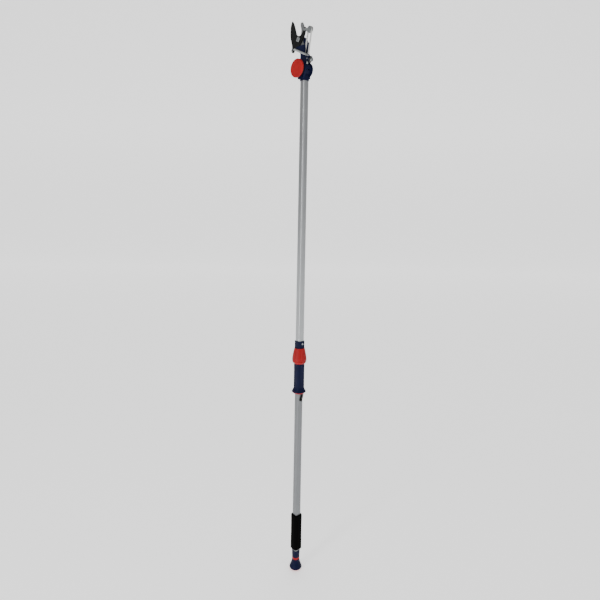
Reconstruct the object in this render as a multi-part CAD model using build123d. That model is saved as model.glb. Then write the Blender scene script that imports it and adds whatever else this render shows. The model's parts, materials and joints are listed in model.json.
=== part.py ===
from build123d import *
import math
import os

os.makedirs("parts", exist_ok=True)

# Telescopic pole pruner, millimetres. +Z runs up the pole, and the origin is the
# centre of the end handle's flat foot. The blades lie in XZ planes, the tilt knob
# faces -Y, and the strap rollers are on the +X side.

# ---------------------------------------------------------------- driving sizes
UPPER_SIDE = 27.0          # upper tube, across flats
UPPER_CORNER = 6.2
LOWER_SIDE = 24.8          # lower tube, across flats
LOWER_CORNER = 5.1
TUBE_WALL = 0.9
SLIDE_GAP = 0.3            # clearance between bodies that move past each other
RUN_FIT = 0.05             # radial clearance of a shaft in its hole

FOOT_TOP = 74.0            # end handle, foot to top
FOAM_LOW = 81.0
FOAM_HIGH = 215.0
FOAM_SIDE = 37.0
FOAM_CORNER = 10.8
HANDLE_LOW = 700.0         # slide handle
HANDLE_HIGH = 817.0
SLEEVE_LOW = 818.0         # twist lock sleeve
SLEEVE_HIGH = 879.5
COLLAR_LOW = 880.0         # fixed collar on the upper tube
COLLAR_HIGH = 908.0
SCREW_Z = 897.0            # screws through the collar
UPPER_TOP = 1958.0
HUB_LOW = 1946.0
HUB_Z = 1990.0             # tilt axis, along Y

HANDLE_STROKE = 100.0      # slide handle and end handle
POLE_TRAVEL = 340.0        # lower tube into the upper tube
LOWER_TOP = 1250.0         # top of the lower tube, inside the upper one

STRAP_WIDTH = 7.6
STRAP_THICK = 1.2
ROLLER_HALF = 4.8          # half width of the strap rollers
LOOP_R = 3.3               # strap's sewn loop on its anchor pin

PIVOT = (-37.0, 2120.0)          # blade pivot, X and Z
TOP_ROLLER = (28.0, 2145.0)
LOW_ROLLER = (29.0, 2028.0)
ANCHOR = (2.0, 2053.0)
TAIL_POST = (-73.0, 2083.0)
HEAD_POST = (38.0, 2037.0)
CLEVIS_PIN = (-2.0, 2152.0)
LATCH_Y = 7.4             # latch hinge, along X under the slide handle's rim
LATCH_Z = 696.0

TREAD = 9.0                # strap tread of the top and tilt rollers
LOW_TREAD = 10.0
BLADE_FRONT = -4.0         # blade plate in Y
HOOK_BACK = 4.0            # hook plate in Y
WALL_Y = 13.0              # half width of the head bracket
WALL = 2.5


# ---------------------------------------------------------------- helpers
def square_bar(side, corner, low, high):
    """Solid bar of rounded square section standing on the pole axis."""
    return Pos(0, 0, low) * extrude(RectangleRounded(side, side, corner), high - low)


def square_tube(side, corner, wall, low, high):
    """Rounded square tube with an even wall."""
    outer = square_bar(side, corner, low, high)
    inner = square_bar(side - 2 * wall, corner - wall, low - 1, high + 1)
    return outer - inner


def square_loft(sections):
    """Loft through rounded squares given as (z, side, corner)."""
    faces = [Pos(0, 0, z) * RectangleRounded(side, side, corner) for z, side, corner in sections]
    return loft(faces)


def rod(x, z, radius, y_low, y_high):
    """Round bar along Y."""
    return Pos(x, y_low, z) * Rot(-90, 0, 0) * extrude(Circle(radius), y_high - y_low)


def cross_bar(y, z, radius, x_low, x_high):
    """Round bar along X."""
    return Pos(x_low, y, z) * Rot(0, 90, 0) * extrude(Circle(radius), x_high - x_low)


def bar(first, second, radius):
    """Round bar between two points."""
    start = Vector(*first)
    along = Vector(*second) - start
    return Plane(origin=start, z_dir=along) * extrude(Circle(radius), along.length)


def block(x_low, x_high, y_low, y_high, z_low, z_high):
    """Plain block between two corners."""
    size = (x_high - x_low, y_high - y_low, z_high - z_low)
    centre = ((x_low + x_high) / 2, (y_low + y_high) / 2, (z_low + z_high) / 2)
    return Pos(*centre) * Box(*size)


def plate(edges, y_low, y_high):
    """Plate in the XZ plane from edges drawn in X and Z."""
    face = make_face(edges)
    return Pos(0, y_low, 0) * extrude(face, amount=y_high - y_low, dir=(0, 1, 0))


def at(x, z):
    """Point in the XZ plane."""
    return Vector(x, 0, z)


def outline(points):
    """Closed straight-sided outline in the XZ plane."""
    return Polyline(*[at(x, z) for x, z in points], close=True)


def save(shape, node):
    """Write one sub-part."""
    export_step(shape, "parts/" + node + ".step")


# ---------------------------------------------------------------- pole tubes
def upper_tube():
    """Outer tube, from the lock collar up into the hub."""
    tube = square_tube(UPPER_SIDE, UPPER_CORNER, TUBE_WALL, COLLAR_LOW + 4, UPPER_TOP)
    return tube - cross_bar(0, SCREW_Z, 2.0, -20, 20)


def lower_tube():
    """Inner tube with a rear slot that the drive pin runs in."""
    tube = square_tube(LOWER_SIDE, LOWER_CORNER, TUBE_WALL, FOOT_TOP, LOWER_TOP)
    slot_low = 760 - HANDLE_STROKE - POLE_TRAVEL - 8
    slot = block(-3.5, 3.5, 5, 15, slot_low, 768)
    return tube - slot


def tube_plug():
    """Bush that caps the inner tube and keeps it centred in the outer one."""
    bush = square_bar(LOWER_SIDE - 2 * TUBE_WALL, LOWER_CORNER - TUBE_WALL, LOWER_TOP - 25, LOWER_TOP)
    cap = square_bar(LOWER_SIDE - 0.2, LOWER_CORNER, LOWER_TOP, LOWER_TOP + 4)
    return bush + cap - block(7.5, 11.3, -7, 7, LOWER_TOP - 40, LOWER_TOP + 10)


def foam_grip():
    """Foam sleeve over the lower tube."""
    outer = square_bar(FOAM_SIDE, FOAM_CORNER, FOAM_LOW, FOAM_HIGH)
    return outer - square_bar(LOWER_SIDE, LOWER_CORNER, FOAM_LOW - 1, FOAM_HIGH + 1)


# ---------------------------------------------------------------- end handle
FOOT_BULGE = (8.0, 48.4, 23.0)
FOOT_SECTIONS = [
    (0.0, 30.0, 13.8),
    (1.5, 38.0, 17.8),
    (4.5, 45.4, 21.4),
    FOOT_BULGE,
]
WAIST_SECTIONS = [
    FOOT_BULGE,
    (15.0, 43.0, 20.2),
    (24.0, 35.4, 16.4),
    (34.0, 29.8, 13.6),
    (45.0, 27.8, 12.2),
    (58.0, 27.2, 9.8),
    (FOOT_TOP, 27.0, 7.4),
]
RING_LOW = 40.0
RING_HIGH = 47.0
RIM_HIGH = 5.4


def foot_shape():
    """Whole outer shape of the end handle."""
    return square_loft(FOOT_SECTIONS) + square_loft(WAIST_SECTIONS)


def slab(low, high):
    """Wide slab used to take a slice of a turned shape."""
    return block(-60, 60, -60, 60, low, high)


def end_grip():
    """Navy body of the end handle with its spigot up inside the tube."""
    core = square_bar(18.0, 4.0, RING_LOW, RING_HIGH)
    body = foot_shape() - slab(RING_LOW, RING_HIGH) - slab(-1, RIM_HIGH)
    body = body + core
    spigot_side = LOWER_SIDE - 2 * TUBE_WALL - 2 * SLIDE_GAP
    spigot = square_bar(spigot_side, 3.4, FOOT_TOP, FOOT_TOP + 150)
    slot = block(7.0, 12.0, -8, 8, FOOT_TOP + 100, FOOT_TOP + 160)
    return body + spigot - slot


def end_ring():
    """Red ring set into the waist of the end handle."""
    core = square_bar(18.0, 4.0, RING_LOW - 1, RING_HIGH + 1)
    return (foot_shape() & slab(RING_LOW, RING_HIGH)) - core


def foot_rim():
    """Red rim under the end handle, with the flat foot."""
    return foot_shape() & slab(-1, RIM_HIGH)


def end_strap():
    """Inner strap from the end handle's spigot up to the shuttle."""
    return block(8.6, 9.8, -STRAP_WIDTH / 2, STRAP_WIDTH / 2, FOOT_TOP + 110, 747.5)


# ---------------------------------------------------------------- slide handle
def grip_shell():
    """Navy hand grip that slides on the lower tube."""
    lower = square_loft([
        (706.0, 56.4, 27.4),
        (711.0, 50.6, 23.4),
        (717.0, 42.4, 17.4),
        (726.0, 37.4, 12.9),
    ])
    upper = square_loft([
        (726.0, 37.4, 12.9),
        (760.0, 36.8, 12.3),
        (790.0, 37.0, 12.4),
        (HANDLE_HIGH, 37.6, 13.0),
    ])
    bore = square_bar(30.0, 8.0, 700, 820)
    return lower + upper - bore


def grip_rim():
    """Red rim under the flare of the slide handle."""
    ring = square_loft([(HANDLE_LOW, 42.6, 20.8), (703.0, 50.6, 24.8), (706.0, 56.0, 27.2)])
    ring = ring - square_bar(30.0, 8.0, 690, 720)
    lever_slot = block(12.0, 17.6, -1.0, 14.0, 695, 704)
    return ring - lever_slot - latch_ear()


def grip_liner():
    """Plastic liner between the grip shell and the lower tube."""
    bore = LOWER_SIDE + 2 * SLIDE_GAP
    liner = square_bar(30.0, 8.0, 704.0, HANDLE_HIGH - 1)
    liner = liner - square_bar(bore, LOWER_CORNER + SLIDE_GAP, 700, 820)
    return liner - rod(0, 760, 2.5, 8, 16)


def drive_pin():
    """Steel pin through the slot that ties the liner to the shuttle."""
    return rod(0, 760, 2.5, 0, 14.6)


def shuttle():
    """Block inside the lower tube that the straps are fixed to."""
    side = LOWER_SIDE - 2 * TUBE_WALL - 2 * SLIDE_GAP
    body = square_bar(side, 3.4, 748, 772)
    strap_seat = block(8.4, 12, -7, 7, 747, 773)
    return body - strap_seat - rod(0, 760, 2.5, 0, 16)


def strap_screws():
    """Two small screws that hold the strap ends on the shuttle."""
    heads = []
    for z in (754, 767):
        heads.append(cross_bar(0, z, 2.2, 9.9, 10.6))
    return Compound(children=heads)


def pole_strap():
    """Strap up the inside of both tubes, from the shuttle to the hub."""
    return block(8.6, 9.8, -STRAP_WIDTH / 2, STRAP_WIDTH / 2, 748.5, HUB_Z - 13)


def latch_lever():
    """Small black lever that locks the slide handle shut."""
    lever = Pos(15.4, 3.5, 684.0) * Rot(-18, 0, 0) * Box(3.4, 8.0, 30.0)
    lever = fillet(lever.edges().filter_by(Axis.X), 2.0)
    eye = cross_bar(LATCH_Y, LATCH_Z, 4.4, 13.7, 17.1)
    return lever + eye - cross_bar(LATCH_Y, LATCH_Z, 1.5 + RUN_FIT, 10, 20)


def latch_ear():
    """Block of the ear that stands in the rim."""
    return block(17.6, 19.4, 5.4, 9.4, 692.0, 702.0)


def latch_pin():
    """Pin and ear that carry the latch lever under the rim."""
    return cross_bar(LATCH_Y, LATCH_Z, 1.5, 13.2, 17.8) + latch_ear()


# ---------------------------------------------------------------- twist lock
FLUTE_LOW_R = 31.0         # axis of each flute, low and high on the sleeve
FLUTE_HIGH_R = 22.4


def twist_sleeve():
    """Ribbed red sleeve that tightens the collet."""
    bore = 19.6
    with BuildPart() as sleeve:
        with BuildSketch(Plane.XZ):
            with BuildLine():
                Polyline((bore, SLEEVE_LOW), (21.6, SLEEVE_LOW))
                Spline((21.6, SLEEVE_LOW), (26.0, 822), (28.6, 828))
                Polyline((28.6, 828), (27.4, 829.6), (27.4, 830.8), (29.0, 832.4))
                Spline((29.0, 832.4), (29.0, 836), (27.8, 846), (24.3, 865), (20.8, SLEEVE_HIGH))
                Polyline((20.8, SLEEVE_HIGH), (bore, SLEEVE_HIGH), (bore, SLEEVE_LOW))
            make_face()
        revolve(axis=Axis.Z)
    body = sleeve.part
    for index in range(14):
        angle = math.tau * index / 14
        foot = (FLUTE_LOW_R * math.cos(angle), FLUTE_LOW_R * math.sin(angle), 838)
        tip = (FLUTE_HIGH_R * math.cos(angle), FLUTE_HIGH_R * math.sin(angle), 890)
        body = body - bar(foot, tip, 3.2)
    return body


def collet():
    """Black nylon collet that grips the lower tube."""
    body = Pos(0, 0, 818.5) * extrude(Circle(19.2), COLLAR_LOW - 818.5)
    bore = square_bar(LOWER_SIDE + 2 * SLIDE_GAP, LOWER_CORNER + SLIDE_GAP, 800, 900)
    body = body - bore
    for turn in (0, 90):
        body = body - Rot(0, 0, turn) * block(-30, 30, -0.8, 0.8, 810, 862)
    return body


def lock_collar():
    """Navy collar fixed on the lower end of the upper tube."""
    body = square_bar(33.0, 9.2, COLLAR_LOW, COLLAR_HIGH)
    body = fillet(body.faces().sort_by(Axis.Z)[-1].edges(), 1.0)
    seat = square_bar(UPPER_SIDE, UPPER_CORNER, COLLAR_LOW + 4, COLLAR_HIGH + 1)
    bore = square_bar(LOWER_SIDE + 2 * SLIDE_GAP, LOWER_CORNER + SLIDE_GAP, COLLAR_LOW - 1, 890)
    return body - seat - bore - cross_bar(0, SCREW_Z, 2.0, -20, 20)


def collar_screws():
    """Pan-head screws through the collar, one on each side."""
    screws = []
    for side in (1, -1):
        low = min(side * 12.6, side * 16.5)
        head_low = min(side * 16.5, side * 18.5)
        shank = cross_bar(0, SCREW_Z, 2.0, low, low + 3.9)
        head = cross_bar(0, SCREW_Z, 3.6, head_low, head_low + 2.0)
        drive = cross_bar(0, SCREW_Z, 1.2, side * 17.7 - 0.9, side * 17.7 + 0.9)
        screws.append(shank + head - drive)
    return Compound(children=screws)


# ---------------------------------------------------------------- tilt hub
NEAR_OUT = -24.0
NEAR_IN = -13.3
FAR_IN = 13.3
FAR_OUT = 17.5
BOLT_R = 5.0
GUARD_IN = 17.5            # guard over the strap inside the tilt joint
GUARD_OUT = 23.8
KNOB_FACE = -44.0
KNOB_THICK = 6.5
KNOB_R = 37.4


def hub_socket():
    """Socket on the upper tube with the near cheek of the tilt joint and a strap guard."""
    low = HUB_Z - 26.5
    collar = square_bar(31.0, 8.2, HUB_LOW, low - 2)
    cheek = rod(0, HUB_Z, 30.0, NEAR_OUT, NEAR_IN)
    cheek = fillet(cheek.edges().group_by(Axis.Y)[0], 2.0)
    web = block(-15.5, 15.5, NEAR_OUT + 1, 15.5, low - 5, low)
    ramp = plate(outline([(-15.5, HUB_LOW + 6), (15.5, HUB_LOW + 6), (23, 1972), (-23, 1972)]), -22, NEAR_IN)
    guard = rod(0, HUB_Z, GUARD_OUT, -8.2, 8.2) - rod(0, HUB_Z, GUARD_IN, -20, 20)
    sector = outline([(0, HUB_Z), (60, HUB_Z - 12), (60, 1900), (13, 1900)])
    guard = guard & plate(sector, -9, 9)
    post = block(11.6, 14.0, -8.2, 8.2, low - 1, HUB_Z - 19.6)
    body = collar + web + ramp + cheek + guard + post
    body = body - square_bar(UPPER_SIDE, UPPER_CORNER, HUB_LOW - 1, UPPER_TOP)
    body = body - block(-11.5, 11.5, -8.5, 8.5, 1950, HUB_Z - 12)
    body = body - rod(0, HUB_Z, BOLT_R, -30, 0)
    body = body - rod(0, HUB_Z, 13.0, -30, NEAR_OUT + 2)
    return body - screw_holes(1.5)


SCREW_PLACES = ((-9.0, 1960.5), (9.0, 1960.5))


def screw_holes(radius):
    """Holes for the screws that hold the rear cheek on the socket."""
    holes = [rod(x, z, radius, 9.0, 30) for x, z in SCREW_PLACES]
    return holes[0] + holes[1]


def rear_cheek():
    """Far cheek of the tilt joint, screwed on behind."""
    low = HUB_Z - 26.5
    disc = rod(0, HUB_Z, 31.0, FAR_IN, FAR_OUT + 2)
    disc = fillet(disc.edges().group_by(Axis.Y)[-1], 3.0)
    tongue = block(-14, 14, 15.5, FAR_OUT + 0.5, HUB_LOW + 8, HUB_Z - 10)
    body = disc + tongue - block(-16, 16, 10, 15.5, HUB_LOW, low)
    body = body - rod(0, HUB_Z, BOLT_R, 0, 30)
    for x, z in SCREW_PLACES:
        body = body - rod(x, z, 3.2, FAR_OUT + 0.5, FAR_OUT + 5)
    return body - screw_holes(1.5)


def hub_screws():
    """Screws through the rear cheek."""
    screws = []
    for x, z in SCREW_PLACES:
        screws.append(rod(x, z, 1.5, 12, FAR_OUT + 0.6) + rod(x, z, 2.9, FAR_OUT + 0.5, FAR_OUT + 2.2))
    return Compound(children=screws)


def tilt_bolt():
    """Bolt that the head tilts on."""
    shaft = rod(0, HUB_Z, BOLT_R, NEAR_OUT + 1, 24)
    flange = rod(0, HUB_Z, 10, NEAR_OUT + 0.1, NEAR_OUT + 2)
    return shaft + flange


def tilt_nut():
    """Hexagon nut behind the rear cheek."""
    nut = Pos(0, 19.5, HUB_Z) * Rot(-90, 0, 0) * extrude(RegularPolygon(9.2, 6), 4.0)
    return nut - rod(0, HUB_Z, BOLT_R, 0, 30)


def knob_cap():
    """Broad red clamp knob with a notched rim."""
    face = rod(0, HUB_Z, KNOB_R, KNOB_FACE, KNOB_FACE + KNOB_THICK)
    face = fillet(face.edges().group_by(Axis.Y)[0], 2.0)
    for index in range(24):
        angle = math.tau * index / 24
        reach = KNOB_R + 1.9
        face = face - rod(reach * math.cos(angle), HUB_Z + reach * math.sin(angle), 2.7, KNOB_FACE - 1, 0)
    return face - rod(0, HUB_Z, 16.0, KNOB_FACE + 3, KNOB_FACE + 20)


def knob_stem():
    """Black stem between the knob and the near cheek."""
    back = KNOB_FACE + KNOB_THICK
    hub = rod(0, HUB_Z, 16.0, KNOB_FACE + 3, NEAR_OUT - 0.4)
    return hub + rod(0, HUB_Z, 27.0, back, NEAR_OUT - 0.4)


def tilt_roller():
    """Roller on the tilt axis that guides the strap through the joint."""
    return rod(0, HUB_Z, 8.0, -7.6, 7.6) - rod(0, HUB_Z, BOLT_R + RUN_FIT, -10, 10)


# ---------------------------------------------------------------- cutting head
BRACKET_SCREWS = ((-31.0, 2096.0), (-19.0, 2092.0))
FRONT_X = 8.5             # bracket face behind the strap
PLATE_EDGE = -4.6          # front edge of the hook's tang


def ear(y_low, y_high):
    """One ear that carries the lower roller."""
    x, z = LOW_ROLLER
    edges = outline([(4, 2006), (x - 2, z - 7), (x + 4, z - 5), (x + 5, z + 5), (4, 2050)])
    arm = plate(edges, y_low, y_high)
    return arm + rod(x, z, 7.0, y_low, y_high)


def near_ear():
    """Near ear, reaching on to the spring's post."""
    x, z = HEAD_POST
    arm = plate(outline([(4, 2024), (x + 1, z - 5), (x + 1, z + 5), (4, 2054)]), -WALL_Y, -WALL_Y + WALL)
    return ear(-WALL_Y, -WALL_Y + WALL) + arm + rod(x, z, 5.0, -WALL_Y, -WALL_Y + WALL)


def hood():
    """Curved wall that closes the joint in front of the strap."""
    ring = rod(0, HUB_Z, 26.6, -WALL_Y, WALL_Y) - rod(0, HUB_Z, 24.2, -20, 20)
    return ring & plate(outline([(0, HUB_Z), (60, HUB_Z - 6), (60, HUB_Z + 50), (42, HUB_Z + 50)]), -20, 20)


def back_wall():
    """Curved wall that closes the joint at the back."""
    ring = rod(0, HUB_Z, 26.0, -WALL_Y, WALL_Y) - rod(0, HUB_Z, 20.5, -20, 20)
    sector = outline([(-2, HUB_Z), (-8, HUB_Z + 60), (-60, HUB_Z + 60), (-60, HUB_Z - 36)])
    return ring & plate(sector, -20, 20)


def head_bracket():
    """Navy bracket: tilt cheeks, neck, roller ears and blade seat in one casting."""
    x, z = PIVOT
    neck = [(-15, HUB_Z), (-15, 2058), (-40, 2080), (-42, 2087), (-39, 2089),
            (FRONT_X, 2088), (FRONT_X, HUB_Z)]
    channel = outline([(-4.5, 2046), (60, 2046), (60, 2130), (5.2, 2130), (5.2, 2104)])
    seat = [(-46, 2084), (-50, 2118), (-44, 2131), (-33, 2133), (-14, 2127),
            (1, 2112), (FRONT_X, 2099), (FRONT_X, 2080)]
    base = plate(outline(neck), -WALL_Y, WALL_Y)
    base = fillet(base.edges().filter_by(Axis.Z), 2.0)
    rear = plate(outline(seat), HOOK_BACK + 0.1, WALL_Y)
    body = base + rod(0, HUB_Z, 26.0, -WALL_Y, WALL_Y) + rear + near_ear() + ear(WALL_Y - WALL, WALL_Y)
    body = body - block(-40, 60, -8.5, 8.5, HUB_Z - 40, HUB_Z + 24)
    body = body - block(4, 60, -8.5, 8.5, HUB_Z + 20, 2046)
    body = body - plate(channel, -4.5, 4.5)
    body = body + hood() + back_wall()
    body = body - block(-60, PLATE_EDGE + 0.1, -0.1, HOOK_BACK + 0.1, 2060, 2140)
    body = body - block(-60, -20, BLADE_FRONT - 0.4, 0, 2076, 2140)
    body = body - rod(0, HUB_Z, BOLT_R + RUN_FIT, -20, 20)
    body = body - rod(x, z, 6.0, 0, 20)
    body = body - rod(*LOW_ROLLER, 3.0, -20, 20) - rod(*ANCHOR, 2.0, -20, 20)
    for place in BRACKET_SCREWS:
        body = body - rod(*place, 2.0, 0, 20)
    return body


def hook():
    """Fixed steel hook of the cutting head with its tang set in the bracket."""
    edges = [
        Line(at(-30, 2061), at(-46, 2096)),
        ThreePointArc(at(-46, 2096), at(-51, 2120), at(-39, 2133)),
        ThreePointArc(at(-39, 2133), at(-29.5, 2138), at(-26.5, 2147)),
        Spline(at(-26.5, 2147), at(-26.5, 2160), at(-29.5, 2172), at(-31, 2180)),
        ThreePointArc(at(-31, 2180), at(-24, 2187.5), at(-17, 2183.5)),
        Spline(at(-17, 2183.5), at(-11.5, 2173), at(-8.4, 2163), at(-8.8, 2149)),
        Line(at(-8.8, 2149), at(-9.5, 2128)),
        Line(at(-9.5, 2128), at(-15, 2112)),
        Line(at(-15, 2112), at(PLATE_EDGE, 2088)),
        Line(at(PLATE_EDGE, 2088), at(PLATE_EDGE, 2061)),
        Line(at(PLATE_EDGE, 2061), at(-30, 2061)),
    ]
    body = plate(edges, 0.1, HOOK_BACK)
    for x, z in BRACKET_SCREWS:
        body = body - rod(x, z, 2.0, -10, 20)
    return body - rod(*PIVOT, 6.0, -10, 20)


def bracket_screws():
    """Screws that hold the hook's tang on the bracket."""
    screws = []
    for x, z in BRACKET_SCREWS:
        screws.append(rod(x, z, 2.0, 0.2, 16) + rod(x, z, 3.4, WALL_Y, 15.4))
    return Compound(children=screws)


def blade_outline():
    """Moving blade with its rear arm, in X and Z."""
    return [
        Spline(at(-80, 2206), at(-88, 2189), at(-91, 2165), at(-89, 2138), at(-81.5, 2112), at(-78, 2093)),
        Line(at(-78, 2093), at(-81.5, 2083)),
        ThreePointArc(at(-81.5, 2083), at(-73, 2074), at(-63.5, 2083)),
        Spline(at(-63.5, 2083), at(-57, 2086.5), at(-46, 2088), at(-34, 2089.5)),
        Line(at(-34, 2089.5), at(-16.5, 2111)),
        Line(at(-16.5, 2111), at(-9, 2118)),
        ThreePointArc(at(-9, 2118), at(1.5, 2135), at(4.5, 2159)),
        ThreePointArc(at(4.5, 2159), at(1.5, 2162), at(-2, 2159.5)),
        Spline(at(-2, 2159.5), at(-10, 2148), at(-19.5, 2138.5), at(-31, 2134)),
        Spline(at(-31, 2134), at(-42, 2137), at(-52, 2145)),
        Spline(at(-52, 2145), at(-58, 2161), at(-64, 2179), at(-71, 2194), at(-80, 2206)),
    ]


def blade():
    """Black moving blade."""
    body = plate(blade_outline(), BLADE_FRONT, 0)
    body = body - rod(*PIVOT, 6.0 + RUN_FIT, -10, 10)
    body = body - rod(*TAIL_POST, 2.5, -10, 10)
    return body - rod(*CLEVIS_PIN, 2.5, -10, 10)


def pivot_bolt():
    """Bolt that the blade turns on, fixed in the hook and bracket."""
    shaft = rod(*PIVOT, 6.0, -8.5, WALL_Y + 1)
    return shaft + rod(*PIVOT, 9.0, WALL_Y, 16.0)


def pivot_nut():
    """Square silver nut over the blade."""
    x, z = PIVOT
    nut = Pos(x, -9.0, z) * Rot(-90, 0, 0) * Rot(0, 0, 28) * extrude(RectangleRounded(17.5, 17.5, 3.0), 4.6)
    nut = chamfer(nut.edges().group_by(Axis.Y)[0], 0.8)
    return nut - rod(*PIVOT, 6.0, -20, 0)


def roller_plates():
    """Two steel plates that carry the top roller on the blade's arm."""
    plates = []
    x, z = TOP_ROLLER
    px, pz = CLEVIS_PIN
    for low in (-ROLLER_HALF - 2.0, ROLLER_HALF + 0.3):
        bar = plate(outline([(px, pz - 4.5), (x, z - 5.5), (x, z + 5.5), (px, pz + 4.5)]), low, low + 1.7)
        bar = bar + rod(x, z, 5.5, low, low + 1.7) + rod(px, pz, 4.5, low, low + 1.7)
        plates.append(bar - rod(x, z, 3.0, -20, 20) - rod(px, pz, 2.5, -20, 20))
    return Compound(children=plates)


def clevis_pin():
    """Rivet through both plates and the blade's arm."""
    px, pz = CLEVIS_PIN
    inner = ROLLER_HALF + 0.2
    shaft = rod(px, pz, 2.5, -inner - 2.2, inner + 2.2)
    return shaft + rod(px, pz, 4.0, -inner, BLADE_FRONT) + rod(px, pz, 4.0, 0, inner)


def top_axle():
    """Axle of the top roller with a head at each end."""
    outer = ROLLER_HALF + 2.0
    shaft = rod(*TOP_ROLLER, 3.0, -outer - 0.4, outer + 0.4)
    near_head = rod(*TOP_ROLLER, 4.2, -outer - 1.4, -outer)
    return shaft + near_head + rod(*TOP_ROLLER, 4.2, outer, outer + 1.4)


def roller(place, tread, flange, half):
    """Flanged strap roller on a 3 mm radius axle."""
    x, z = place
    body = rod(x, z, tread, -half, half)
    body = body + rod(x, z, flange, -half, -half + 0.8) + rod(x, z, flange, half - 0.8, half)
    return body - rod(x, z, 3.0 + RUN_FIT, -20, 20)


def lower_axle():
    """Axle of the lower roller through both ears."""
    return rod(*LOW_ROLLER, 3.0, -14.2, 14.2)


def anchor_pin():
    """Pin in the bracket that the end of the strap loops over."""
    return rod(*ANCHOR, 2.0, -WALL_Y, WALL_Y)


def tail_post():
    """Eye pin on the blade's tail for the return spring."""
    x, z = TAIL_POST
    return rod(x, z, 2.5, -8.5, 0) + rod(x, z, 3.8, -9.5, -8.3)


def spring_post():
    """Post on the near ear for the return spring."""
    x, z = HEAD_POST
    return rod(x, z, 2.0, -20.5, -WALL_Y) + rod(x, z, 3.2, -21.5, -20.4)


# ---------------------------------------------------------------- strap and spring
def tangent_side(start, end, start_radius, end_radius):
    """Unit normal of the strap run from one roller to the next, as (x, z)."""
    dx = end[0] - start[0]
    dz = end[1] - start[1]
    length = math.hypot(dx, dz)
    turn = math.asin((end_radius - start_radius) / length)
    heading = math.atan2(dz, dx) - turn
    return math.sin(heading), -math.cos(heading)


def run(first, second):
    """Flat straight strap run between two points of its centre line."""
    dx = second[0] - first[0]
    dz = second[1] - first[1]
    length = math.hypot(dx, dz)
    angle = math.degrees(math.atan2(dx, dz))
    mid = ((first[0] + second[0]) / 2, 0, (first[1] + second[1]) / 2)
    return Pos(*mid) * Rot(0, angle, 0) * Box(STRAP_THICK, STRAP_WIDTH, length)


def joint(point):
    """Round turn between two strap runs."""
    return rod(point[0], point[1], STRAP_THICK / 2, -STRAP_WIDTH / 2, STRAP_WIDTH / 2)


def around(place, radius, first, second):
    """Strap ring about a roller, above the line from first to second."""
    x, z = place
    half = STRAP_WIDTH / 2
    ring = rod(x, z, radius + STRAP_THICK / 2, -half, half)
    ring = ring - rod(x, z, radius - STRAP_THICK / 2, -20, 20)
    reach = 3 * radius
    above = [first, second, (second[0] - radius, second[1] + reach), (first[0] + radius, first[1] + reach)]
    return ring & plate(outline(above), -half - 1, half + 1)


def on_circle(place, radius, side):
    """Point where the strap's centre line meets a roller."""
    return place[0] + radius * side[0], place[1] + radius * side[1]


def head_strap():
    """Strap from the hub, past the lower roller, over the top roller to its anchor."""
    over = TREAD + 0.3 + STRAP_THICK / 2
    guide = -(LOW_TREAD + 0.3 + STRAP_THICK / 2)
    hub_entry = (9.2, HUB_Z - 12.4)
    hub_exit = (9.2, HUB_Z + 5)
    low_side = tangent_side(hub_exit, LOW_ROLLER, 0, guide)
    up_side = tangent_side(LOW_ROLLER, TOP_ROLLER, guide, over)
    down_side = tangent_side(ANCHOR, TOP_ROLLER, -LOOP_R, -over)
    low_point = on_circle(LOW_ROLLER, guide, low_side)
    high_point = on_circle(LOW_ROLLER, guide, up_side)
    out_point = on_circle(TOP_ROLLER, over, up_side)
    in_point = on_circle(TOP_ROLLER, -over, down_side)
    end = on_circle(ANCHOR, -LOOP_R, down_side)
    points = [hub_entry, hub_exit, low_point, high_point, out_point]
    body = run(in_point, end) + joint(in_point)
    for first, second in zip(points, points[1:]):
        body = body + run(first, second) + joint(second)
    body = body + around(TOP_ROLLER, over, out_point, in_point)
    half = STRAP_WIDTH / 2
    loop = rod(*ANCHOR, LOOP_R + STRAP_THICK / 2, -half, half)
    return body + loop - rod(*ANCHOR, 2.1, -20, 20)


SPRING_R = 4.5
SPRING_Y = -18.2
TAIL_HOOK_Y = -6.4
COIL_START = (-47.0, 2080.0)
COIL_END = (31.0, 2040.5)
WIRE_R = 0.8


def return_spring():
    """Return spring from the blade's tail to the near ear, as a sleeve with two hooks."""
    start = (COIL_START[0], SPRING_Y, COIL_START[1])
    end = (COIL_END[0], SPRING_Y, COIL_END[1])
    tail = (TAIL_POST[0] + 3.6, TAIL_HOOK_Y, TAIL_POST[1])
    post = (HEAD_POST[0] - 3.0, SPRING_Y, HEAD_POST[1] + 1.0)
    body = bar(start, end, SPRING_R) + bar(tail, start, WIRE_R) + bar(end, post, WIRE_R)
    tail_eye = rod(*TAIL_POST, 4.4, TAIL_HOOK_Y - 1.0, TAIL_HOOK_Y + 1.0)
    post_eye = rod(*HEAD_POST, 3.9, SPRING_Y - 1.0, SPRING_Y + 1.0)
    body = body + tail_eye + post_eye
    return body - rod(*TAIL_POST, 2.6, -30, 0) - rod(*HEAD_POST, 2.1, -30, 0)


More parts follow.
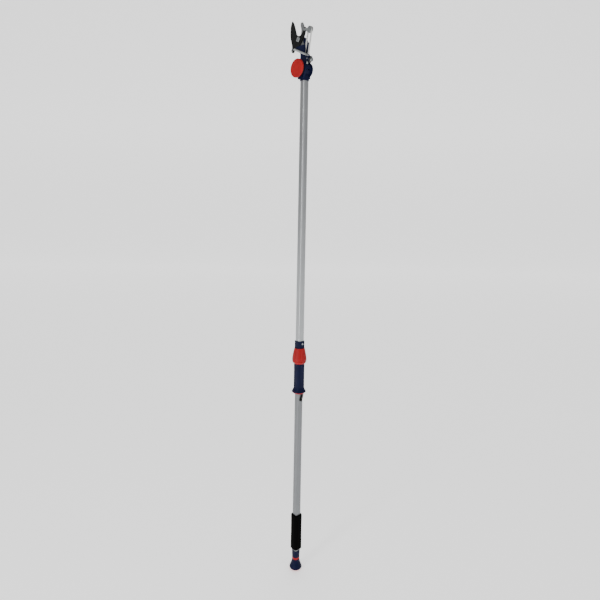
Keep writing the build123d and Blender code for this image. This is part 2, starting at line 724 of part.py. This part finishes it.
PARTS = {
    "upper_tube": upper_tube,
    "lower_tube": lower_tube,
    "tube_plug": tube_plug,
    "foam_grip": foam_grip,
    "end_grip": end_grip,
    "end_ring": end_ring,
    "foot_rim": foot_rim,
    "end_strap": end_strap,
    "grip_shell": grip_shell,
    "grip_rim": grip_rim,
    "grip_liner": grip_liner,
    "drive_pin": drive_pin,
    "shuttle": shuttle,
    "strap_screws": strap_screws,
    "pole_strap": pole_strap,
    "latch_lever": latch_lever,
    "latch_pin": latch_pin,
    "twist_sleeve": twist_sleeve,
    "collet": collet,
    "lock_collar": lock_collar,
    "collar_screws": collar_screws,
    "hub_socket": hub_socket,
    "rear_cheek": rear_cheek,
    "hub_screws": hub_screws,
    "tilt_bolt": tilt_bolt,
    "tilt_nut": tilt_nut,
    "knob_cap": knob_cap,
    "knob_stem": knob_stem,
    "tilt_roller": tilt_roller,
    "head_bracket": head_bracket,
    "hook": hook,
    "bracket_screws": bracket_screws,
    "blade": blade,
    "pivot_bolt": pivot_bolt,
    "pivot_nut": pivot_nut,
    "roller_plates": roller_plates,
    "clevis_pin": clevis_pin,
    "top_axle": top_axle,
    "lower_axle": lower_axle,
    "anchor_pin": anchor_pin,
    "tail_post": tail_post,
    "spring_post": spring_post,
    "head_strap": head_strap,
    "return_spring": return_spring,
}

for node_name, make in PARTS.items():
    save(make(), node_name)
save(roller(TOP_ROLLER, TREAD, 14.0, ROLLER_HALF), "top_roller")
save(roller(LOW_ROLLER, LOW_TREAD, 13.0, ROLLER_HALF), "lower_roller")
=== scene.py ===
import json
import math

import bmesh
import bpy
from mathutils import Matrix, Vector, noise


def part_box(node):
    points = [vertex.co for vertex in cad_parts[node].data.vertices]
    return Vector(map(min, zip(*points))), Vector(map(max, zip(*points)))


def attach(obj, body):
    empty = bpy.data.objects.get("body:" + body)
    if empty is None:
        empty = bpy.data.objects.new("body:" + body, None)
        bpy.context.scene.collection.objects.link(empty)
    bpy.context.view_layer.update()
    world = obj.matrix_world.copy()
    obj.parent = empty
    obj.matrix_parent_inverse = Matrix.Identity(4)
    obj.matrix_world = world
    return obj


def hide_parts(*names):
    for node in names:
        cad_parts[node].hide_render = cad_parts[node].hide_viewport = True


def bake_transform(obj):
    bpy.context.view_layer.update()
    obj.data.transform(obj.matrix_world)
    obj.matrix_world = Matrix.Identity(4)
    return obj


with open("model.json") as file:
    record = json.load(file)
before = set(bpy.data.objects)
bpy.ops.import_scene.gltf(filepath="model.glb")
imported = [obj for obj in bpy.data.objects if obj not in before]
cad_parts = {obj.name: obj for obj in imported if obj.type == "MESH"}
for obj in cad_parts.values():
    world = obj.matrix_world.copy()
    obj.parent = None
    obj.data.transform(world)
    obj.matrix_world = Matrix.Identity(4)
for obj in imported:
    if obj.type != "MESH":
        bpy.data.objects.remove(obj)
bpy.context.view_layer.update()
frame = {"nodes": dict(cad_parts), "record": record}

MM = 0.001


# ---------------------------------------------------------------- node helpers
class Recipe:
    """A material being built: its node tree, its shader and its object coordinates."""

    def __init__(self, name, color, roughness, metallic=0.0):
        self.material = bpy.data.materials.new(name)
        self.material.use_nodes = True
        self.material.diffuse_color = (*color, 1.0)
        self.tree = self.material.node_tree
        self.shader = self.tree.nodes["Principled BSDF"]
        self.shader.inputs["Metallic"].default_value = metallic
        self.shader.inputs["Base Color"].default_value = (*color, 1.0)
        self.shader.inputs["Roughness"].default_value = roughness
        self.coords = self.tree.nodes.new("ShaderNodeTexCoord").outputs["Object"]

    def add(self, kind, **inputs):
        """New node with its named inputs set or linked."""
        node = self.tree.nodes.new(kind)
        for key, value in inputs.items():
            self.feed(node.inputs[key.replace("_", " ")], value)
        return node

    def feed(self, socket, value):
        """Sets a socket to a number, or links it to another node's output."""
        if isinstance(value, bpy.types.NodeSocket):
            self.tree.links.new(value, socket)
        else:
            socket.default_value = value

    def stretched(self, scale):
        """Object coordinates scaled by axis."""
        mapping = self.add("ShaderNodeMapping", Vector=self.coords)
        mapping.inputs["Scale"].default_value = scale
        return mapping.outputs["Vector"]

    def noise(self, scale, detail=3.0, coords=None, roughness=0.55):
        """Noise value."""
        node = self.add("ShaderNodeTexNoise", Vector=coords or self.coords, Scale=scale, Detail=detail)
        node.inputs["Roughness"].default_value = roughness
        return node.outputs["Fac"]

    def ramp(self, value, low, high, start, end):
        """Colour ramp between two colours over start..end of value."""
        node = self.add("ShaderNodeValToRGB", Fac=value)
        node.color_ramp.elements[0].position = start
        node.color_ramp.elements[0].color = (*low, 1.0)
        node.color_ramp.elements[1].position = end
        node.color_ramp.elements[1].color = (*high, 1.0)
        return node.outputs["Color"]

    def span(self, value, low, high):
        """Value from 0..1 moved to low..high."""
        node = self.add("ShaderNodeMapRange", Value=value)
        node.inputs["To Min"].default_value = low
        node.inputs["To Max"].default_value = high
        return node.outputs["Result"]

    def math(self, operation, first, second):
        """Maths on two values."""
        node = self.tree.nodes.new("ShaderNodeMath")
        node.operation = operation
        self.feed(node.inputs[0], first)
        self.feed(node.inputs[1], second)
        return node.outputs["Value"]

    def mixed(self, first, first_share, second, second_share):
        """Sum of shares of two values."""
        parts = [self.math("MULTIPLY", first, first_share), self.math("MULTIPLY", second, second_share)]
        return self.math("ADD", *parts)

    def bump(self, height, depth, strength=1.0):
        """Bump whose full height is depth, in metres."""
        node = self.add("ShaderNodeBump", Height=height, Distance=depth, Strength=strength)
        self.feed(self.shader.inputs["Normal"], node.outputs["Normal"])

    def color(self, value, low, high, start=0.3, end=0.7):
        """Base colour that varies with value."""
        self.feed(self.shader.inputs["Base Color"], self.ramp(value, low, high, start, end))

    def rough(self, value, low, high):
        """Roughness that varies with value."""
        self.feed(self.shader.inputs["Roughness"], self.span(value, low, high))


def scaled(color, factor):
    """Colour made lighter or darker."""
    return tuple(min(1.0, part * factor) for part in color)


# ---------------------------------------------------------------- materials
COLLAR_BASE = 0.8825        # metres: the lower tube shows below this, the upper tube above it


def drawn_aluminium():
    """Satin anodised extrusion with fine lengthwise die lines; the lower tube's colour is painted darker
    than the upper tube's, as painted shade.
    """
    base = (0.36, 0.372, 0.38)
    # painted shade: a darker copy of the metal's colour, used for the lower tube
    shaded_lower_base = (0.185, 0.192, 0.20)
    recipe = Recipe("tube_aluminium", base, 0.32, 0.92)
    lines = recipe.noise(1.0, 4.0, recipe.stretched((2600, 2600, 3)))
    patches = recipe.noise(9.0, 4.0)
    marks = recipe.noise(1.0, 2.0, recipe.stretched((160, 160, 45)))
    blend = recipe.mixed(lines, 0.65, patches, 0.35)
    bright = recipe.ramp(blend, scaled(base, 0.9), scaled(base, 1.1), 0.3, 0.7)
    # the darker copy of the colour for the lower tube, which is painted shade
    dull = recipe.ramp(blend, scaled(shaded_lower_base, 0.86), scaled(shaded_lower_base, 1.12), 0.3, 0.7)
    height = recipe.add("ShaderNodeSeparateXYZ", Vector=recipe.coords).outputs["Z"]
    # below the collar base the tube takes the darker colour, painted shade by height; above it the tube
    # takes its own colour
    tone = recipe.add("ShaderNodeMix", Factor=recipe.math("GREATER_THAN", height, COLLAR_BASE))
    tone.data_type = "RGBA"
    recipe.feed(tone.inputs[6], dull)
    recipe.feed(tone.inputs[7], bright)
    recipe.feed(recipe.shader.inputs["Base Color"], tone.outputs[2])
    recipe.rough(recipe.math("MULTIPLY", marks, blend), 0.26, 0.5)
    recipe.bump(lines, 0.00003, 0.5)
    return recipe.material


def moulded_plastic(name, base, low, high, grain, specular):
    """Moulded plastic with a spark-eroded grain, slight mottling and scuffs."""
    recipe = Recipe(name, base, low)
    fine = recipe.noise(grain, 2.0)
    mottle = recipe.noise(38.0, 4.0)
    scuffs = recipe.noise(1.0, 6.0, recipe.stretched((420, 420, 90)), 0.7)
    recipe.color(recipe.mixed(mottle, 0.7, scuffs, 0.3), scaled(base, 0.78), scaled(base, 1.28))
    recipe.rough(scuffs, low, high)
    recipe.bump(fine, 0.00006, 0.6)
    recipe.shader.inputs["Specular IOR Level"].default_value = specular
    return recipe.material


def foam():
    """Closed-cell foam: open pits of the cut skin over a soft swell."""
    base = (0.0010, 0.0010, 0.0011)
    recipe = Recipe("black_foam", base, 0.9)
    cells = recipe.add("ShaderNodeTexVoronoi", Vector=recipe.coords, Scale=900.0).outputs["Distance"]
    swell = recipe.noise(140.0, 4.0)
    height = recipe.mixed(cells, 0.7, swell, 0.5)
    pits = recipe.math("ADD", cells, recipe.math("MULTIPLY", swell, 0.3))
    recipe.color(pits, scaled(base, 0.5), scaled(base, 1.9))
    recipe.rough(swell, 0.8, 0.98)
    recipe.bump(height, 0.0004, 0.8)
    recipe.shader.inputs["Specular IOR Level"].default_value = 0.03
    return recipe.material


def brushed_steel(name, base, low, high, stretch, metallic):
    """Ground steel with fine scratches along one way and small dull patches."""
    recipe = Recipe(name, base, low, metallic)
    lines = recipe.noise(1.0, 5.0, recipe.stretched(stretch))
    patches = recipe.noise(120.0, 4.0)
    blend = recipe.mixed(lines, 0.6, patches, 0.4)
    recipe.color(blend, scaled(base, 0.72), scaled(base, 1.25))
    recipe.rough(blend, low, high)
    recipe.bump(lines, 0.00003, 0.7)
    return recipe.material


def blade_coating():
    """Thin black non-stick coating with a faint speckle, rubbed slightly lighter in streaks."""
    base = (0.0018, 0.0019, 0.0020)
    recipe = Recipe("black_blade", base, 0.46)
    speckle = recipe.noise(1400.0, 2.0)
    rubs = recipe.noise(1.0, 5.0, recipe.stretched((60, 60, 700)), 0.65)
    mix = recipe.mixed(speckle, 0.4, rubs, 0.6)
    recipe.color(mix, scaled(base, 0.6), scaled(base, 3.2), 0.35, 0.85)
    recipe.rough(mix, 0.40, 0.62)
    recipe.shader.inputs["Specular IOR Level"].default_value = 0.17
    recipe.bump(speckle, 0.00004, 0.6)
    return recipe.material


def webbing():
    """Flat woven strap: weft ribs across its width and finer warp lines along it."""
    base = (0.66, 0.66, 0.64)
    recipe = Recipe("strap_webbing", base, 0.8)
    weft = recipe.add("ShaderNodeTexWave", Vector=recipe.coords, Scale=260.0, Distortion=0.6)
    weft.bands_direction = "Z"
    warp = recipe.add("ShaderNodeTexWave", Vector=recipe.coords, Scale=330.0, Distortion=0.4)
    warp.bands_direction = "Y"
    weave = recipe.math("MULTIPLY", weft.outputs["Fac"], warp.outputs["Fac"])
    soil = recipe.noise(60.0, 4.0)
    tone = recipe.mixed(weave, 0.5, soil, 0.5)
    recipe.color(tone, scaled(base, 0.72), scaled(base, 1.15), 0.2, 0.65)
    recipe.rough(soil, 0.68, 0.92)
    recipe.bump(weave, 0.00025, 0.8)
    recipe.shader.inputs["Sheen Weight"].default_value = 0.25
    return recipe.material


# base colour, roughness from and to, scale of the grain, specular level
PLASTICS = {
    "navy_plastic": ((0.0030, 0.0050, 0.028), 0.38, 0.56, 1500.0, 0.09),
    "red_plastic": ((0.30, 0.0045, 0.0055), 0.34, 0.50, 1100.0, 0.2),
    "black_plastic": ((0.003, 0.003, 0.0035), 0.42, 0.6, 1300.0, 0.16),
    "white_nylon": ((0.72, 0.72, 0.69), 0.4, 0.58, 900.0, 0.16),
}
# base colour, roughness from and to, scale of the scratches by axis, metallic
STEELS = {
    "bright_steel": ((0.36, 0.375, 0.38), 0.26, 0.48, (90, 900, 900), 1.0),
    "grey_steel": ((0.22, 0.225, 0.23), 0.34, 0.58, (900, 900, 120), 0.85),
}

MATERIALS = {"tube_aluminium": drawn_aluminium(), "black_foam": foam()}
MATERIALS |= {name: moulded_plastic(name, *look) for name, look in PLASTICS.items()}
MATERIALS |= {name: brushed_steel(name, *look) for name, look in STEELS.items()}
MATERIALS |= {"black_blade": blade_coating(), "strap_webbing": webbing()}

for part in frame["record"]["subparts"]:
    node = frame["nodes"][part["node"]]
    node.data.materials.clear()
    node.data.materials.append(MATERIALS[part["material_slot"]])


# ---------------------------------------------------------------- mesh helpers
def new_piece(name, vertices, faces, material, body=None):
    """Mesh piece with smooth shading, riding on a body if one is named."""
    mesh = bpy.data.meshes.new(name)
    mesh.from_pydata(vertices, [], faces)
    mesh.update()
    builder = bmesh.new()
    builder.from_mesh(mesh)
    bmesh.ops.recalc_face_normals(builder, faces=builder.faces)
    builder.to_mesh(mesh)
    builder.free()
    for face in mesh.polygons:
        face.use_smooth = True
    piece = bpy.data.objects.new(name, mesh)
    bpy.context.scene.collection.objects.link(piece)
    mesh.materials.append(MATERIALS[material])
    if body:
        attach(piece, body)
    return piece


def skin(rings, closed=False):
    """Quads between rings of equal length, capped at both ends unless closed on itself."""
    count = len(rings[0])
    vertices = [point for ring in rings for point in ring]
    faces = []
    last = len(rings) if closed else len(rings) - 1
    for row in range(last):
        low = row * count
        high = (row + 1) % len(rings) * count
        for index in range(count):
            after = (index + 1) % count
            faces.append((low + index, low + after, high + after, high + index))
    if not closed:
        faces.append(tuple(reversed(range(count))))
        faces.append(tuple(range((len(rings) - 1) * count, len(rings) * count)))
    return vertices, faces


def rounded_square(side, corner, z, per_corner=8, per_side=6):
    """Ring of points round a rounded square at height z."""
    half = side / 2 - corner
    points = []
    for quarter in range(4):
        centre_angle = math.radians(90 * quarter)
        cx = half * (1, -1, -1, 1)[quarter]
        cy = half * (1, 1, -1, -1)[quarter]
        for step in range(per_corner + 1):
            angle = centre_angle + math.radians(90) * step / per_corner
            points.append(Vector((cx + corner * math.cos(angle), cy + corner * math.sin(angle), z)))
        start = points[-1]
        after = math.radians(90 * (quarter + 1))
        nx = half * (1, -1, -1, 1)[(quarter + 1) % 4]
        ny = half * (1, 1, -1, -1)[(quarter + 1) % 4]
        goal = Vector((nx + corner * math.cos(after), ny + corner * math.sin(after), z))
        for step in range(1, per_side):
            points.append(start.lerp(goal, step / per_side))
    return points


def sweep(path, section, up):
    """Rings of a section (across, out) swept along a path; up is the direction across."""
    rings = []
    for index, point in enumerate(path):
        before = path[max(index - 1, 0)]
        after = path[min(index + 1, len(path) - 1)]
        along = (after - before).normalized()
        out = along.cross(up).normalized()
        rings.append([point + up * across + out * lift for across, lift in section])
    return rings


def round_wire(path, radius, sides):
    """Rings of a round wire along a path, turned with as little twist as possible."""
    rings = []
    along = (path[1] - path[0]).normalized()
    side = along.orthogonal().normalized()
    for index, point in enumerate(path):
        after = path[min(index + 1, len(path) - 1)]
        before = path[max(index - 1, 0)]
        along = (after - before).normalized()
        side = (side - along * side.dot(along)).normalized()
        other = along.cross(side)
        angles = [math.tau * step / sides for step in range(sides)]
        rings.append([point + (side * math.cos(a) + other * math.sin(a)) * radius for a in angles])
    return rings


def centre(node):
    """Middle of a CAD node's box."""
    low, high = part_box(node)
    return (Vector(low) + Vector(high)) / 2


# ---------------------------------------------------------------- foam grip
FOAM_CORNER = 10.8 * MM
FOAM_END_ROUND = 2.6 * MM
FOAM_WAIST = 0.5 * MM
FOAM_LIP = 0.8 * MM         # the inner edge lies this far inside each end
BORE_CORNER = 5.2 * MM
BORE_GAP = 0.2 * MM


def make_foam_grip():
    """Foam sleeve with rolled ends, a slight waist where it is held and an uneven skin."""
    low, high = (Vector(corner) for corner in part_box("foam_grip"))
    side = high.x - low.x
    bore_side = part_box("lower_tube")[1][0] * 2 + BORE_GAP
    rings = [rounded_square(bore_side, BORE_CORNER, low.z + FOAM_LIP)]
    steps = 6
    for step in range(steps + 1):
        angle = math.radians(90) * step / steps
        inset = FOAM_END_ROUND * (1 - math.sin(angle))
        z = low.z + FOAM_END_ROUND * (1 - math.cos(angle))
        rings.append(rounded_square(side - 2 * inset, FOAM_CORNER - inset * 0.6, z))
    rows = 60
    for step in range(1, rows):
        share = step / rows
        z = low.z + FOAM_END_ROUND + (high.z - low.z - 2 * FOAM_END_ROUND) * share
        waist = FOAM_WAIST * math.sin(math.pi * share)
        rings.append(rounded_square(side - 2 * waist, FOAM_CORNER - waist, z))
    for step in range(steps + 1):
        angle = math.radians(90) * (1 - step / steps)
        inset = FOAM_END_ROUND * (1 - math.sin(angle))
        z = high.z - FOAM_END_ROUND * (1 - math.cos(angle))
        rings.append(rounded_square(side - 2 * inset, FOAM_CORNER - inset * 0.6, z))
    rings.append(rounded_square(bore_side, BORE_CORNER, high.z - FOAM_LIP))
    for ring in rings[2:-2]:
        for point in ring:
            outward = Vector((point.x, point.y, 0)).normalized()
            dent = noise.noise(point * 55) * 0.35 + noise.noise(point * 240) * 0.12
            point -= outward * (abs(dent) * MM)
    vertices, faces = skin(rings, closed=True)
    grip = new_piece("foam_sleeve", vertices, faces, "black_foam", "lower_pole")
    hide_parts("foam_grip")


# ---------------------------------------------------------------- strap
STRAP_HALF = 3.8 * MM
STRAP_THICK = 1.2 * MM
STRAP_X = 9.2 * MM          # the strap's run through the hub
TOP_WRAP = 9.9 * MM         # middle of the strap from the top roller's axis
GUIDE_REACH = 10.9 * MM     # and from the lower roller's
LOOP_REACH = 3.3 * MM       # and from the anchor pin's
ACROSS = Vector((0, 1, 0))


def strap_section():
    """Section of the webbing (across, out) with thicker rounded selvedges."""
    half = STRAP_THICK / 2
    upper = []
    for share in (-1, -0.96, -0.88, -0.8, -0.5, 0, 0.5, 0.8, 0.88, 0.96, 1):
        bead = 1.0 if 0.86 < abs(share) < 0.98 else 0.72
        if abs(share) == 1:
            bead = 0.45
        upper.append((STRAP_HALF * share, half * bead))
    return upper + [(across, -lift) for across, lift in reversed(upper)]


def tangent_normal(start, end, start_reach, end_reach):
    """Unit normal, to the right of travel, of the line that touches two circles."""
    gap = end - start
    heading = math.atan2(gap.z, gap.x) - math.asin((end_reach - start_reach) / gap.length)
    return Vector((math.sin(heading), 0, -math.cos(heading)))


def straight(start, end, steps):
    """Points from start to end, without the last."""
    return [start.lerp(end, step / steps) for step in range(steps)]


def turn_about(place, radius, first, second, steps):
    """Points on a circle from one normal to another, turning to the left of travel."""
    start = math.atan2(first.z, first.x)
    end = math.atan2(second.z, second.x)
    while end < start:
        end += math.tau
    angles = [start + (end - start) * step / steps for step in range(steps)]
    return [place + Vector((math.cos(a), 0, math.sin(a))) * radius for a in angles]


def strap_mesh(path):
    """Vertices and faces of the webbing along a path."""
    return skin(sweep(path, strap_section(), ACROSS))


def make_straps():
    """Strap through the hub and round the rollers of the head, and its sewn end."""
    top = centre("top_roller")
    low = centre("lower_roller")
    anchor = centre("anchor_pin")
    hub = centre("tilt_roller")
    hub_exit = Vector((STRAP_X, 0, hub.z + 5 * MM))
    low_side = tangent_normal(hub_exit, low, 0, -GUIDE_REACH)
    up_side = tangent_normal(low, top, -GUIDE_REACH, TOP_WRAP)
    down_side = tangent_normal(anchor, top, -LOOP_REACH, -TOP_WRAP)
    low_point = low - low_side * GUIDE_REACH
    high_point = low - up_side * GUIDE_REACH
    out_point = top + up_side * TOP_WRAP
    in_point = top - down_side * TOP_WRAP
    end_point = anchor - down_side * LOOP_REACH

    entry = Vector((STRAP_X, 0, hub.z - 40 * MM))
    path = straight(entry, hub_exit, 24) + straight(hub_exit, low_point, 20) + [low_point]
    hub_run = new_piece("strap_through_hub", *strap_mesh(path), "strap_webbing")
    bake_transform(hub_run)

    path = straight(low_point, high_point, 3) + straight(high_point, out_point, 40)
    path += turn_about(top, TOP_WRAP, up_side, -down_side, 28)
    path += straight(in_point, end_point, 36) + [end_point]
    head_run = new_piece("strap_over_rollers", *strap_mesh(path), "strap_webbing")
    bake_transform(head_run)
    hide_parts("head_strap")

    angles = [math.tau * step / 28 for step in range(28)]
    ring = [anchor + Vector((math.cos(a), 0, math.sin(a))) * LOOP_REACH for a in angles]
    rings = []
    for point in ring:
        out = (point - anchor).normalized()
        rings.append([point + ACROSS * a + out * lift for a, lift in strap_section()])
    new_piece("strap_end_loop", *skin(rings, closed=True), "strap_webbing", "head")


# ---------------------------------------------------------------- return spring
WIRE = 0.8 * MM
COIL = 3.7 * MM
COIL_START = Vector((-47.0, -18.2, 2080.0)) * MM
COIL_END = Vector((31.0, -18.2, 2040.5)) * MM
TAIL_HOOK_Y = -6.4 * MM
TAIL_HOOK = 3.4 * MM
POST_HOOK = 3.0 * MM
HOOK_SWEEP = math.radians(300)


def hook_eye(middle, radius, facing, sweep_angle):
    """Open hook about a post in the XZ plane, ending on its far side along facing."""
    side = Vector((-facing.z, 0, facing.x))
    steps = 20
    angles = [sweep_angle * (1 - step / steps) for step in range(steps + 1)]
    return [middle + facing * (math.cos(a) * radius) + side * (math.sin(a) * radius) for a in angles]


def make_spring():
    """Close-wound extension spring from the blade's tail to the post on the near ear."""
    tail = centre("tail_post")
    tail.y = TAIL_HOOK_Y
    post = centre("spring_post")
    post.y = COIL_END.y
    along = (COIL_END - COIL_START).normalized()
    face = Vector((0, 1, 0))
    side = along.cross(face)
    length = (COIL_END - COIL_START).length
    per_turn = 14
    steps = int(length / (WIRE * 2.1)) * per_turn

    path = hook_eye(tail, TAIL_HOOK, Vector((1, 0, 0)), HOOK_SWEEP)
    path += straight(path[-1], COIL_START, 10)[1:]
    for step in range(steps + 1):
        angle = math.tau * step / per_turn
        place = COIL_START + along * (length * step / steps)
        grow = min(1.0, step / per_turn, (steps - step) / per_turn)
        reach = COIL * (0.12 + 0.88 * grow)
        path.append(place + (face * math.cos(angle) + side * math.sin(angle)) * reach)
    eye = hook_eye(post, POST_HOOK, (COIL_END - post).normalized(), -HOOK_SWEEP)
    path += straight(COIL_END, eye[-1], 4)[1:]
    path += list(reversed(eye))
    spring = new_piece("extension_spring", *skin(round_wire(path, WIRE, 8)), "bright_steel")
    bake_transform(spring)
    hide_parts("return_spring")


make_foam_grip()
make_straps()
make_spring()


# ---------------------------------------------------------------- stage, light and camera
AZIMUTH = math.radians(50)
TOWARD_CAMERA = Vector((math.sin(AZIMUTH), -math.cos(AZIMUTH), 0))
RIGHT = Vector((math.cos(AZIMUTH), math.sin(AZIMUTH), 0))
EYE_HEIGHT = 1.430
DISTANCE = 2.0
VIEW_HEIGHT = 2.4
SENSOR = 36.0
SIDE_STEP = 0.0084
LEAN = math.radians(1.06)
WHITE = (1.0, 1.0, 1.0, 1.0)
FLOOR_GLOW = 0.8
AHEAD_STRENGTH = 0.8        # of the surround, toward the camera and away from it
SIDE_STRENGTH = 0.52        # and to its left and right


def floor_paint():
    """Matt near-white paint that glows a little."""
    color = (0.93, 0.93, 0.93)
    recipe = Recipe("floor_paint", color, 0.9)
    recipe.color(recipe.noise(3.0, 2.0), scaled(color, 0.99), color)
    recipe.shader.inputs["Emission Color"].default_value = WHITE
    recipe.shader.inputs["Emission Strength"].default_value = FLOOR_GLOW
    return recipe.material


def make_floor():
    """Pale floor that curves up into a far wall."""
    width = 30.0
    depth = 14.0
    bend = 4.0
    steps = 16
    profile = [(-12.0, 0.0), (depth - bend, 0.0)]
    for step in range(1, steps + 1):
        angle = math.radians(90) * step / steps
        profile.append((depth - bend + bend * math.sin(angle), bend * (1 - math.cos(angle))))
    profile.append((depth, 16.0))
    turn = Matrix.Rotation(AZIMUTH, 4, "Z")
    vertices = []
    for across in (-width / 2, width / 2):
        vertices += [turn @ Vector((across, away, height)) for away, height in profile]
    count = len(profile)
    faces = [(i, i + 1, count + i + 1, count + i) for i in range(count - 1)]
    mesh = bpy.data.meshes.new("floor")
    mesh.from_pydata(vertices, [], faces)
    for face in mesh.polygons:
        face.use_smooth = True
    mesh.materials.append(floor_paint())
    floor = bpy.data.objects.new("floor", mesh)
    floor.location.z = -0.002
    bpy.context.scene.collection.objects.link(floor)


def area_light(name, place, target, width, height, power):
    """Rectangular soft box aimed at a target."""
    data = bpy.data.lights.new(name, "AREA")
    data.shape = "RECTANGLE"
    data.size = width
    data.size_y = height
    data.energy = power
    light = bpy.data.objects.new(name, data)
    light.location = place
    light.rotation_euler = (Vector(target) - Vector(place)).to_track_quat("-Z", "Y").to_euler()
    bpy.context.scene.collection.objects.link(light)


def make_camera():
    """Camera level at chest height, with the frame shifted down to take in the whole pole."""
    data = bpy.data.cameras.new("camera")
    data.sensor_width = SENSOR
    data.lens = SENSOR * DISTANCE / VIEW_HEIGHT
    data.shift_y = -0.15
    camera = bpy.data.objects.new("camera", data)
    camera.location = TOWARD_CAMERA * DISTANCE - RIGHT * SIDE_STEP + Vector((0, 0, EYE_HEIGHT))
    look = (-TOWARD_CAMERA).to_track_quat("-Z", "Y").to_matrix().to_4x4()
    camera.rotation_euler = (look @ Matrix.Rotation(LEAN, 4, "Z")).to_euler()
    bpy.context.scene.collection.objects.link(camera)
    bpy.context.scene.camera = camera


def make_light():
    """Bright surround, dimmer to the left and right, an upright strip on the left and a small fill."""
    world = bpy.data.worlds.new("surround")
    world.use_nodes = True
    nodes = world.node_tree.nodes
    links = world.node_tree.links
    coords = nodes.new("ShaderNodeTexCoord")
    across = nodes.new("ShaderNodeVectorMath")
    across.operation = "DOT_PRODUCT"
    across.inputs[1].default_value = RIGHT
    links.new(coords.outputs["Generated"], across.inputs[0])
    away = nodes.new("ShaderNodeMath")
    away.operation = "ABSOLUTE"
    links.new(across.outputs["Value"], away.inputs[0])
    shade = nodes.new("ShaderNodeMapRange")
    shade.interpolation_type = "SMOOTHSTEP"
    shade.inputs["From Min"].default_value = 0.15
    shade.inputs["From Max"].default_value = 0.85
    shade.inputs["To Min"].default_value = AHEAD_STRENGTH
    shade.inputs["To Max"].default_value = SIDE_STRENGTH
    links.new(away.outputs["Value"], shade.inputs["Value"])
    links.new(shade.outputs["Result"], nodes["Background"].inputs["Strength"])
    nodes["Background"].inputs["Color"].default_value = WHITE
    bpy.context.scene.world = world
    strip = TOWARD_CAMERA * 2.2 - RIGHT * 1.8 + Vector((0, 0, 1.6))
    area_light("strip", strip, (0, 0, 1.6), width=0.5, height=3.2, power=40)
    fill = TOWARD_CAMERA * 1.8 + RIGHT * 2.4 + Vector((0, 0, 1.8))
    area_light("fill", fill, (0, 0, 1.2), width=1.2, height=1.2, power=8)


make_floor()
make_camera()
make_light()
